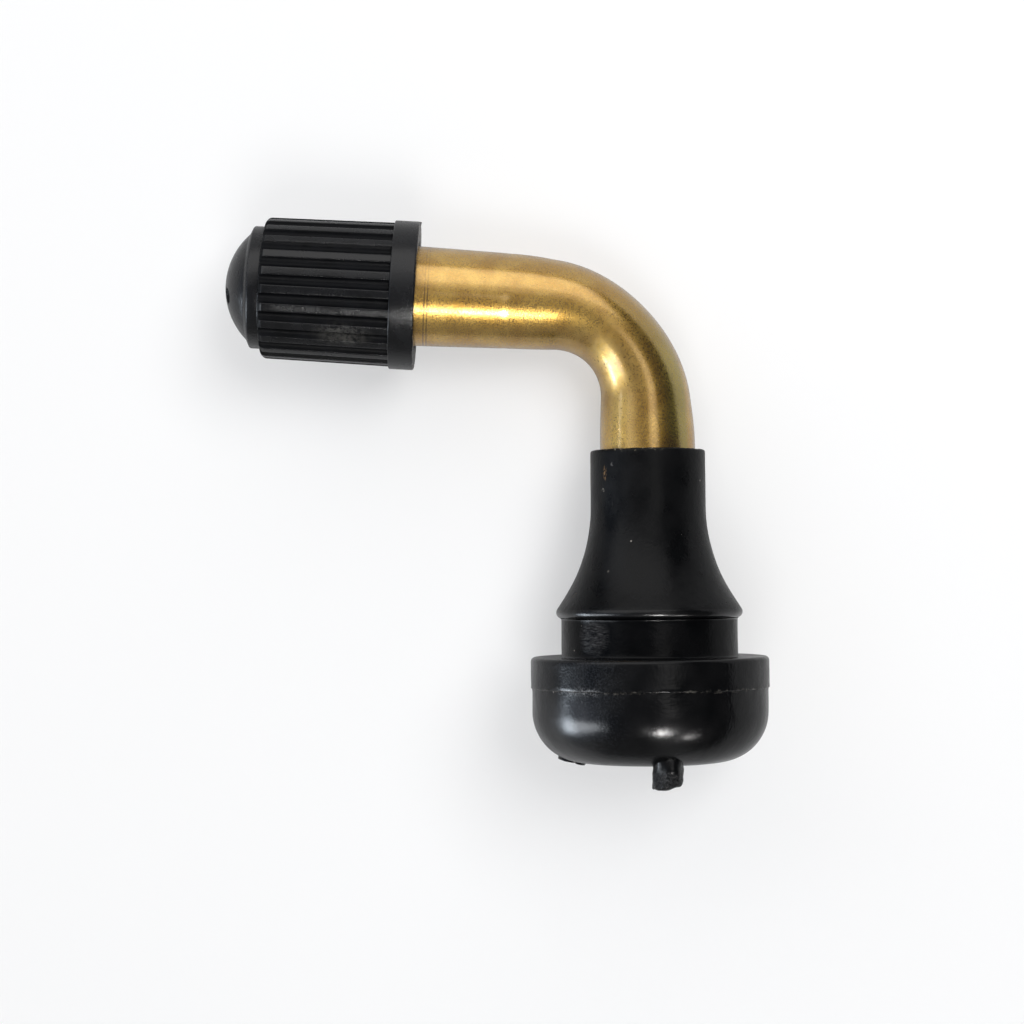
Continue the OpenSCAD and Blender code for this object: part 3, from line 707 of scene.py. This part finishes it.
def rubberFinish(k, name, specular):
    mat, tree, shader = newMaterial(name)
    point = valvePoint(tree, valveToRow)
    x, y, z = splitPoint(tree, point)
    grain = useGroup(tree, grainGroup, point, Fine=5.0, Broad=0.4)
    patches = grain.outputs["Patches"]
    colour = mixColour(tree, patches, k["dark"], k["light"])
    # a dull haze on the outlet's side of the head, partly real bloom and partly a painted bluish sheen where the
    # window's reflection falls
    mottle = noiseValue(tree, point, 6.0, 5, 0.7)
    onHead = remap(tree, z, 0.6, -0.2)
    hazeAndSheenMask = times(tree, remap(tree, mottle, 0.42, 0.74), remap(tree, x, -1.0, -6.5))
    hazeAndSheenMask = times(tree, hazeAndSheenMask, onHead)
    colour = mixColour(tree, times(tree, hazeAndSheenMask, 0.45), colour, k["hazeAndSheen"])
    # a brushed scuff in the rim groove
    scuffZone = nearPoint(tree, point, k["scuffAt"], 0.9, 1.9)
    brushed = remap(tree, noiseValue(tree, point, 5.0, 5, 0.75, (0.35, 0.35, 1.7)), 0.40, 0.66)
    scuffed = times(tree, scuffZone, brushed)
    colour = mixColour(tree, times(tree, scuffed, 0.55), colour, k["scuff"])
    # residue along the mould line, smeared upwards by the outlet's side
    drift = times(tree, mathNode(tree, "SUBTRACT", noiseValue(tree, point, 0.7, 3), 0.5), 0.28)
    off = plus(tree, plus(tree, z, baseShape["bandH"]), drift)
    reach = remap(tree, noiseValue(tree, point, 0.9, 5, 0.75), 0.40, 0.68, 0.02, 0.30, False)
    offBy = mathNode(tree, "ABSOLUTE", off)
    seam = mathNode(tree, "SUBTRACT", 1.0, mathNode(tree, "DIVIDE", offBy, reach), True)
    ragged = remap(tree, noiseValue(tree, point, 2.2, 5, 0.75), 0.47, 0.63)
    residue = times(tree, times(tree, seam, ragged), 0.42)
    colour = mixColour(tree, residue, colour, k["residue"])
    smear = times(tree, remap(tree, offBy, 0.05, 0.5, 1, 0), remap(tree, mottle, 0.5, 0.62))
    smear = times(tree, smear, nearPoint(tree, point, k["smearAt"], 1.0, 3.0))
    colour = mixColour(tree, times(tree, smear, 0.9), colour, k["smear"])
    # crumbs along the edge where the brass comes out
    neckH = baseShape["neckH"]
    crumbs = times(tree, remap(tree, z, neckH - 0.35, neckH - 0.05), remap(tree, x, 1.5, -1.5))
    crumbs = times(tree, crumbs, remap(tree, y, -2.2, -3.2))
    crumbs = times(tree, crumbs, remap(tree, noiseValue(tree, point, 3.2, 4, 0.7), 0.55, 0.63))
    colour = mixColour(tree, crumbs, colour, k["crumb"])
    # dust, and single marks on the neck and the flare
    specks = useGroup(tree, speckGroup, point, Spacing=1.7, Share=0.03)
    colour = mixColour(tree, times(tree, specks.outputs["Mask"], 0.6), colour, k["dust"])
    fleck = remap(tree, noiseValue(tree, point, 7.0, 3, 0.6, (1.0, 1.0, 0.5)), 0.46, 0.56)
    for centre, size, draw, paint in k["marks"]:
        mark = times(tree, nearPoint(tree, point, centre, size * 0.4, size, draw), fleck)
        colour = mixColour(tree, times(tree, mark, 0.9), colour, k[paint])
    # the torn stub is greyer and rough
    stubTurn = math.radians(baseShape["stubTurn"])
    gateR = baseShape["gateR"]
    stubSpot = (gateR * math.cos(stubTurn), gateR * math.sin(stubTurn), -baseShape["headH"] - 1.3)
    torn = times(tree, nearPoint(tree, point, stubSpot, 1.2, 1.8), remap(tree, mottle, 0.45, 0.62))
    colour = mixColour(tree, times(tree, torn, 0.6), colour, k["torn"])
    join(tree, colour, shader.inputs["Base Color"])
    low = remap(tree, z, 4.6, 3.2)
    rough = remap(tree, low, 0, 1, k["neckRough"], k["headRough"], False)
    rough = plus(tree, rough, remap(tree, patches, 0, 1, -0.05, 0.06, False))
    join(tree, plus(tree, rough, times(tree, scuffed, 0.12)), shader.inputs["Roughness"])
    shader.inputs["Specular IOR Level"].default_value = specular
    # worn smooth on the lip and in two places on the head
    lip = times(tree, remap(tree, z, 3.0, 3.2), remap(tree, z, 3.95, 3.5, 0, 0.7))
    frontWorn = times(tree, nearPoint(tree, point, k["frontWornAt"], 0.8, 3.2), 0.6)
    sideWorn = times(tree, nearPoint(tree, point, k["sideWornAt"], 1.2, 4.2), 0.7)
    worn = mathNode(tree, "MAXIMUM", mathNode(tree, "MAXIMUM", frontWorn, sideWorn), lip)
    join(tree, times(tree, worn, k["polish"]), shader.inputs["Coat Weight"])
    shader.inputs["Coat Roughness"].default_value = k["polishRough"]
    waves = noiseValue(tree, point, 1.3, 2, 0.5)
    height = plus(tree, grain.outputs["Height"], times(tree, waves, 1.2))
    height = plus(tree, height, times(tree, torn, 2.5))
    addBump(tree, shader, height, k["bump"], k["bumpDepth"])
    return mat


brassLook = {
    "deep": (0.53, 0.29, 0.036), "bright": (0.69, 0.42, 0.078), "tarnish": (0.30, 0.165, 0.045),
    # the olive colour is a painted greenish reflection along the outside of the upright part
    "oliveReflection": (0.29, 0.265, 0.04), "brown": (0.20, 0.085, 0.025), "pit": (0.09, 0.055, 0.022),
    "cast": (0.40, 0.285, 0.14), "rough": (0.21, 0.36), "coat": 1.0, "coatRough": 0.2, "coatIor": 1.8,
    "turnedAt": 44.4, "stainAt": (1.7, -3.4, 17.3), "castAt": (-4.6, -3.2, 23.4),
    "pitsAt": (-4.3, -2.6, 24.2), "bump": 0.24, "bumpDepth": 0.00004,
}


def brassFinish(k):
    mat, tree, shader = newMaterial("bentBrass")
    attribute = addNode(tree, "ShaderNodeAttribute", attribute_name="straight")
    scaled = addNode(tree, "ShaderNodeVectorMath", operation="SCALE")
    scaled.inputs["Scale"].default_value = 1000
    join(tree, attribute.outputs["Vector"], scaled.inputs[0])
    tube = scaled.outputs["Vector"]
    across, _, along = splitPoint(tree, tube)
    point = valvePoint(tree, valveToRow)
    grain = useGroup(tree, grainGroup, tube, Fine=5.5, Broad=0.5)
    patches = grain.outputs["Patches"]
    colour = mixColour(tree, patches, k["deep"], k["bright"])
    # brown tarnish in clouds and fine grains
    clouds = remap(tree, noiseValue(tree, tube, 0.55, 5, 0.65), 0.48, 0.70)
    grains = remap(tree, noiseValue(tree, tube, 5.0, 4, 0.75), 0.50, 0.64)
    tarnish = times(tree, grains, remap(tree, clouds, 0, 1, 0.45, 1, False))
    colour = mixColour(tree, times(tree, tarnish, 0.42), colour, k["tarnish"])
    # a painted greenish reflection along the outside of the upright part, and a brown stain where it leaves the
    # rubber
    greenReflection = times(tree, remap(tree, across, 0.9, 2.0), remap(tree, across, 3.4, 2.9))
    greenReflection = times(tree, greenReflection, remap(tree, along, 31, 22))
    colour = mixColour(tree, times(tree, greenReflection, 0.65), colour, k["oliveReflection"])
    stain = nearPoint(tree, point, k["stainAt"], 0.3, 1.5)
    stain = times(tree, stain, remap(tree, grains, 0, 1, 0.5, 1))
    colour = mixColour(tree, times(tree, stain, 0.8), colour, k["brown"])
    # a dull cast and pits on the inside of the bend
    uneven = remap(tree, noiseValue(tree, tube, 1.1, 4, 0.65), 0.36, 0.62, 0.35, 1.0)
    cast = times(tree, nearPoint(tree, point, k["castAt"], 1.0, 5.5), uneven)
    colour = mixColour(tree, times(tree, cast, 0.6), colour, k["cast"])
    pits = remap(tree, noiseValue(tree, tube, 2.3, 3, 0.6, (1.6, 1.6, 0.8)), 0.60, 0.66)
    inside = nearPoint(tree, point, k["pitsAt"], 0.5, 2.2)
    spread = useGroup(tree, speckGroup, tube, Spacing=2.2, Share=0.012)
    dark = mathNode(tree, "MAXIMUM", times(tree, pits, inside), spread.outputs["Mask"])
    colour = mixColour(tree, times(tree, dark, 0.75), colour, k["pit"])
    # lines left by turning, just outside the cap; their dark colour is painted shade in the fine grooves,
    # strongest on the side where the key's highlight falls
    fromLines = mathNode(tree, "ABSOLUTE", mathNode(tree, "SUBTRACT", along, k["turnedAt"]))
    turned = remap(tree, fromLines, 0.22, 0.30, 1, 0)
    lines = mathNode(tree, "SINE", times(tree, along, 25.0))
    shown = times(tree, turned, remap(tree, across, 0.8, -0.4, 0.3, 1.0))
    grooves = times(tree, shown, remap(tree, lines, 0.0, 0.8))
    colour = mixColour(tree, times(tree, grooves, 0.7), colour, k["pit"])
    join(tree, colour, shader.inputs["Base Color"])
    shader.inputs["Metallic"].default_value = 1.0
    mottle = noiseValue(tree, tube, 6.0, 4, 0.75)
    rough = remap(tree, mottle, 0.36, 0.64, k["rough"][0], k["rough"][1], False)
    rough = plus(tree, rough, times(tree, clouds, 0.05))
    join(tree, plus(tree, rough, times(tree, cast, 0.10)), shader.inputs["Roughness"])
    join(tree, remap(tree, cast, 0, 1, k["coat"], k["coat"] * 0.35, False), shader.inputs["Coat Weight"])
    shader.inputs["Coat Roughness"].default_value = k["coatRough"]
    shader.inputs["Coat IOR"].default_value = k["coatIor"]
    streaks = noiseValue(tree, tube, 6.0, 3, 0.6, (2.0, 2.0, 0.2))
    height = plus(tree, grain.outputs["Height"], times(tree, streaks, 0.3))
    height = mathNode(tree, "SUBTRACT", height, times(tree, grooves, 0.5))
    addBump(tree, shader, height, k["bump"], k["bumpDepth"])
    return mat


capLook = {
    "dark": (0.0020, 0.0022, 0.0027), "light": (0.0036, 0.0039, 0.0050), "rub": (0.065, 0.063, 0.057),
    "dust": (0.22, 0.21, 0.19), "rough": 0.25, "specular": 0.40, "fluteRough": 0.45, "fluteSpecular": 0.1,
    "rubAt": (-4.1, -4.35, 5.8), "bump": 0.4, "bumpDepth": 0.00004,
}


def capFinish(k, name, roughness, specular):
    mat, tree, shader = newMaterial(name)
    point = valvePoint(tree, valveToRow @ capTurn)
    grain = useGroup(tree, grainGroup, point, Fine=7.0, Broad=0.6)
    patches = grain.outputs["Patches"]
    colour = mixColour(tree, patches, k["dark"], k["light"])
    # a grey rub mark along the ribs, longer than wide
    rub = nearPoint(tree, point, k["rubAt"], 0.4, 1.3, 2.4)
    rubbed = times(tree, rub, remap(tree, noiseValue(tree, point, 1.9, 6, 0.75), 0.40, 0.58))
    colour = mixColour(tree, times(tree, rubbed, 0.85), colour, k["rub"])
    specks = useGroup(tree, speckGroup, point, Spacing=1.5, Share=0.06)
    colour = mixColour(tree, times(tree, specks.outputs["Mask"], 0.5), colour, k["dust"])
    join(tree, colour, shader.inputs["Base Color"])
    rough = plus(tree, remap(tree, patches, 0, 1, -0.04, 0.05, False), roughness)
    join(tree, plus(tree, rough, times(tree, rubbed, 0.15)), shader.inputs["Roughness"])
    shader.inputs["Specular IOR Level"].default_value = specular
    addBump(tree, shader, grain.outputs["Height"], k["bump"], k["bumpDepth"])
    return mat


def plainFinish(name, dark, light, metallic, rough, fine):
    # the pieces inside the outlet
    mat, tree, shader = newMaterial(name)
    point = valvePoint(tree, valveToRow)
    grain = useGroup(tree, grainGroup, point, Fine=fine, Broad=1.2)
    patches = grain.outputs["Patches"]
    join(tree, mixColour(tree, patches, dark, light), shader.inputs["Base Color"])
    shader.inputs["Metallic"].default_value = metallic
    join(tree, remap(tree, patches, 0, 1, rough - 0.06, rough + 0.06, False), shader.inputs["Roughness"])
    addBump(tree, shader, grain.outputs["Height"], 0.2, 0.00004)
    return mat


rubberBase.data.materials.append(rubberFinish(rubberLook, "blackRubber", rubberLook["specular"]))
# a duller copy of the rubber for the rim groove, a painted shade under the lip
rubberBase.data.materials.append(rubberFinish(rubberLook, "grooveRubberShade", rubberLook["grooveShadeSpecular"]))
rubberBase.data.materials.append(rubberFinish(rubberLook, "neckRubber", rubberLook["neckSpecular"]))
baseBack = valveToRow.inverted()
for poly in rubberBase.data.polygons:
    spot = baseBack @ poly.center
    reach = math.hypot(spot.x, spot.y)
    if 0.02 < spot.z < baseShape["grooveW"] - 0.02 and reach < baseShape["grooveD"] / 2 + 0.2:
        poly.material_index = 1   # the rim groove gets a duller copy of the rubber, a painted shade under the lip
    elif spot.z > baseShape["grooveW"] + 0.8:
        poly.material_index = 2
brassStem.data.materials.append(brassFinish(brassLook))
capSkin = capFinish(capLook, "capPlastic", capLook["rough"], capLook["specular"])
# a duller copy of the cap's finish, a painted shade for the flutes and the pit
capShadedHollow = capFinish(capLook, "capFlutesShade", capLook["fluteRough"], capLook["fluteSpecular"])
ribbedCap.data.materials.append(capSkin)
ribbedCap.data.materials.append(capShadedHollow)
capBack = (valveToRow @ capTurn).inverted()
pitSpot = Matrix.Rotation(math.radians(capShape["pitTurn"]), 3, "Z") @ Vector((capShape["pitOffset"], 0, 0))
for poly in ribbedCap.data.polygons:
    spot = capBack @ poly.center
    reach = math.hypot(spot.x, spot.y)
    rise = spot.z - capShape["flangeW"]
    skin = capShape["ribD"] / 2 + (capShape["ribEndD"] - capShape["ribD"]) / 2 * rise / capShape["ribL"]
    inFlute = 0.01 < rise < capShape["ribL"] - 0.05 and capShape["ringD"] / 2 + 0.1 < reach < skin - 0.08
    inPit = (spot - pitSpot).xy.length < capShape["pitD"] * 0.5
    if inFlute or (inPit and rise > capShape["ribL"] + capShape["ringW"]):
        poly.material_index = 1   # the hollows between the ribs and the pit get the duller copy of the finish, a painted shade that darkens them
innerFinishes = {
    "core_brass": plainFinish("coreBrass", (0.58, 0.40, 0.15), (0.74, 0.54, 0.24), 1.0, 0.30, 16.0),
    "red_seal": plainFinish("redSeal", (0.30, 0.030, 0.025), (0.42, 0.045, 0.035), 0.0, 0.55, 9.0),
    "dark_seal": plainFinish("darkSeal", (0.015, 0.015, 0.016), (0.026, 0.026, 0.028), 0.0, 0.6, 9.0),
    "spring_steel": plainFinish("springSteel", (0.50, 0.50, 0.50), (0.64, 0.64, 0.63), 1.0, 0.28, 20.0),
}
for part in record["subparts"]:
    if part["material_slot"] in innerFinishes:
        inner = nodes[part["node"]]
        inner.data.materials.clear()
        inner.data.materials.append(innerFinishes[part["material_slot"]])
wireSpring.data.materials.append(innerFinishes["spring_steel"])
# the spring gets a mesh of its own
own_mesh(wireSpring)
print("materials set")

# table, lamps and camera
floorZ = cadLow.z
lightSet = {
    "key": {"way": (16, -26), "far": 0.65, "size": (0.08, 0.075), "level": 105.0,
        "tint": (1.0, 0.99, 0.97), "use": "gloss"},
    "panel": {"way": (-26, 60), "far": 0.62, "size": (1.20, 0.50), "level": 1.42,
        "tint": (1.0, 0.99, 0.975), "use": "all"},
    "upper": {"way": (-12, 28), "far": 0.62, "size": (0.90, 0.15), "level": 0.6,
        "tint": (1.0, 0.99, 0.975), "use": "gloss"},
    "window": {"way": (-60, -32), "far": 0.62, "size": (0.18, 0.46), "level": 5.6,
        "tint": (0.90, 0.95, 1.0), "use": "gloss"},
    "sill": {"way": (-80, -62), "far": 0.62, "size": (0.28, 0.12), "level": 10.0,
        "tint": (0.80, 0.90, 1.0), "use": "gloss"},
    "pane": {"way": (-66, 17), "far": 0.62, "size": (0.04, 0.05), "level": 7.0,
        "tint": (0.92, 0.96, 1.0), "use": "gloss"},
    "ceiling": {"way": (24, 15), "far": 0.65, "size": (0.20, 0.20), "level": 1.15,
        "tint": (1.0, 0.985, 0.96), "use": "gloss"},
    "side": {"way": (45, -46), "far": 0.65, "size": (0.11, 0.08), "level": 14.0,
        "tint": (1.0, 0.98, 0.96), "use": "gloss"},
    "fill": {"way": (30, 28), "far": 0.65, "size": (0.30, 0.30), "level": 10.0,
        "tint": (1.0, 1.0, 1.0), "use": "table"},
    "fillLow": {"way": (8, -25), "far": 0.65, "size": (0.30, 0.30), "level": 4.2,
        "tint": (1.0, 1.0, 1.0), "use": "table"},
}
lampAim = Vector((-0.012, 0.015, 0))
for name, lamp in lightSet.items():
    data = bpy.data.lights.new(name, "AREA")
    data.shape = "RECTANGLE"
    data.size, data.size_y = lamp["size"]
    data.energy = lamp["level"] * math.pi * data.size * data.size_y
    data.color = lamp["tint"]
    # the way is given as degrees from upright, towards the right and towards the back
    across, along = (math.tan(math.radians(a)) for a in lamp["way"])
    light = bpy.data.objects.new(name, data)
    light.location = lampAim + Vector((across, along, 1)).normalized() * lamp["far"]
    light.rotation_euler = (lampAim - light.location).to_track_quat("-Z", "Y").to_euler()
    light.visible_diffuse = lamp["use"] != "gloss"
    light.visible_glossy = lamp["use"] != "table"
    bpy.context.scene.collection.objects.link(light)

tableLook = {
    "colour": 0.88, "rough": 0.9, "specular": 0.1, "share": 0.44, "glow": 1.0, "glossGlow": 0.1, "half": 3.0,
}
floorMesh = bmesh.new()
bmesh.ops.create_grid(floorMesh, x_segments=1, y_segments=1, size=tableLook["half"])
bmesh.ops.translate(floorMesh, verts=floorMesh.verts, vec=(0, 0, floorZ))
floorData = bpy.data.meshes.new("table")
floorMesh.to_mesh(floorData)
floorMesh.free()
floor = bpy.data.objects.new("table", floorData)
bpy.context.scene.collection.objects.link(floor)

floorMat = bpy.data.materials.new("paleTable")
floorMat.use_nodes = True
floorTree = floorMat.node_tree
floorShader = floorTree.nodes["Principled BSDF"]
floorShader.inputs["Base Color"].default_value = (*[tableLook["colour"]] * 3, 1)
floorShader.inputs["Roughness"].default_value = tableLook["rough"]
floorShader.inputs["Specular IOR Level"].default_value = tableLook["specular"]
glow = addNode(floorTree, "ShaderNodeEmission")
glow.inputs["Color"].default_value = (1, 1, 1, 1)
rays = addNode(floorTree, "ShaderNodeLightPath")
seen = mathNode(floorTree, "MAXIMUM", rays.outputs["Is Camera Ray"], rays.outputs["Is Glossy Ray"])
seen = mathNode(floorTree, "MAXIMUM", seen, rays.outputs["Is Transmission Ray"])
share = times(floorTree, seen, tableLook["share"])
# the table is dimmer in reflections
glossy = rays.outputs["Is Glossy Ray"]
dimmed = remap(floorTree, glossy, 0, 1, tableLook["glow"], tableLook["glossGlow"], False)
join(floorTree, dimmed, glow.inputs["Strength"])
blendShader = addNode(floorTree, "ShaderNodeMixShader")
join(floorTree, share, blendShader.inputs[0])
join(floorTree, floorShader.outputs[0], blendShader.inputs[1])
join(floorTree, glow.outputs[0], blendShader.inputs[2])
join(floorTree, blendShader.outputs[0], floorTree.nodes["Material Output"].inputs["Surface"])
floor.data.materials.append(floorMat)

skyLook = {
    "middle": (0.20, 0.20, 0.21), "left": (0.24, 0.29, 0.38), "front": (0.27, 0.27, 0.27),
    "right": (0.08, 0.08, 0.08), "backdrop": (0.95, 0.95, 0.95),
}
world = bpy.data.worlds.new("studio")
bpy.context.scene.world = world
world.use_nodes = True
worldTree = world.node_tree
background = worldTree.nodes["Background"]
skyWay = addNode(worldTree, "ShaderNodeTexCoord")
skyX, skyY, _ = splitPoint(worldTree, skyWay.outputs["Generated"])
skyColour = mixColour(worldTree, remap(worldTree, skyX, -0.3, -0.8), skyLook["middle"], skyLook["left"])
skyColour = mixColour(worldTree, remap(worldTree, skyY, -0.35, -0.8), skyColour, skyLook["front"])
skyColour = mixColour(worldTree, remap(worldTree, skyX, 0.25, 0.6), skyColour, skyLook["right"])
skyRays = addNode(worldTree, "ShaderNodeLightPath")
skyColour = mixColour(worldTree, skyRays.outputs["Is Camera Ray"], skyColour, skyLook["backdrop"])
join(worldTree, skyColour, background.inputs["Color"])
background.inputs["Strength"].default_value = 1.0

# camera, fitted to the photograph in the valve's own axes
cameraFit = {
    "turn": (0.029, 0.0084, -0.012), "aim": (-11.385, 0.0, 12.14), "distance": 190.0, "focal": 2274.0,
    "pictureW": 1024, "sensor": 36,
}
turnVector = Vector(cameraFit["turn"])
aimTurn = Matrix.Rotation(turnVector.length, 3, turnVector.normalized())
right = valveTurn @ aimTurn @ Vector((1, 0, 0))
forward = valveTurn @ aimTurn @ Vector((0, 1, 0))
up = valveTurn @ aimTurn @ Vector((0, 0, 1))
cameraData = bpy.data.cameras.new("camera")
cameraData.sensor_width = cameraFit["sensor"]
cameraData.lens = cameraFit["focal"] / cameraFit["pictureW"] * cameraFit["sensor"]
cameraData.clip_start = 0.01
cameraData.clip_end = 20
camera = bpy.data.objects.new("camera", cameraData)
bpy.context.scene.collection.objects.link(camera)
cameraPlace = valveToRow @ Vector(cameraFit["aim"]) - forward * cameraFit["distance"] * mm
cameraTurn = Matrix((right, up, -forward)).transposed().to_4x4()
camera.matrix_world = Matrix.Translation(cameraPlace) @ cameraTurn
bpy.context.scene.camera = camera
bpy.context.scene.view_settings.view_transform = "Standard"
print("stage set")
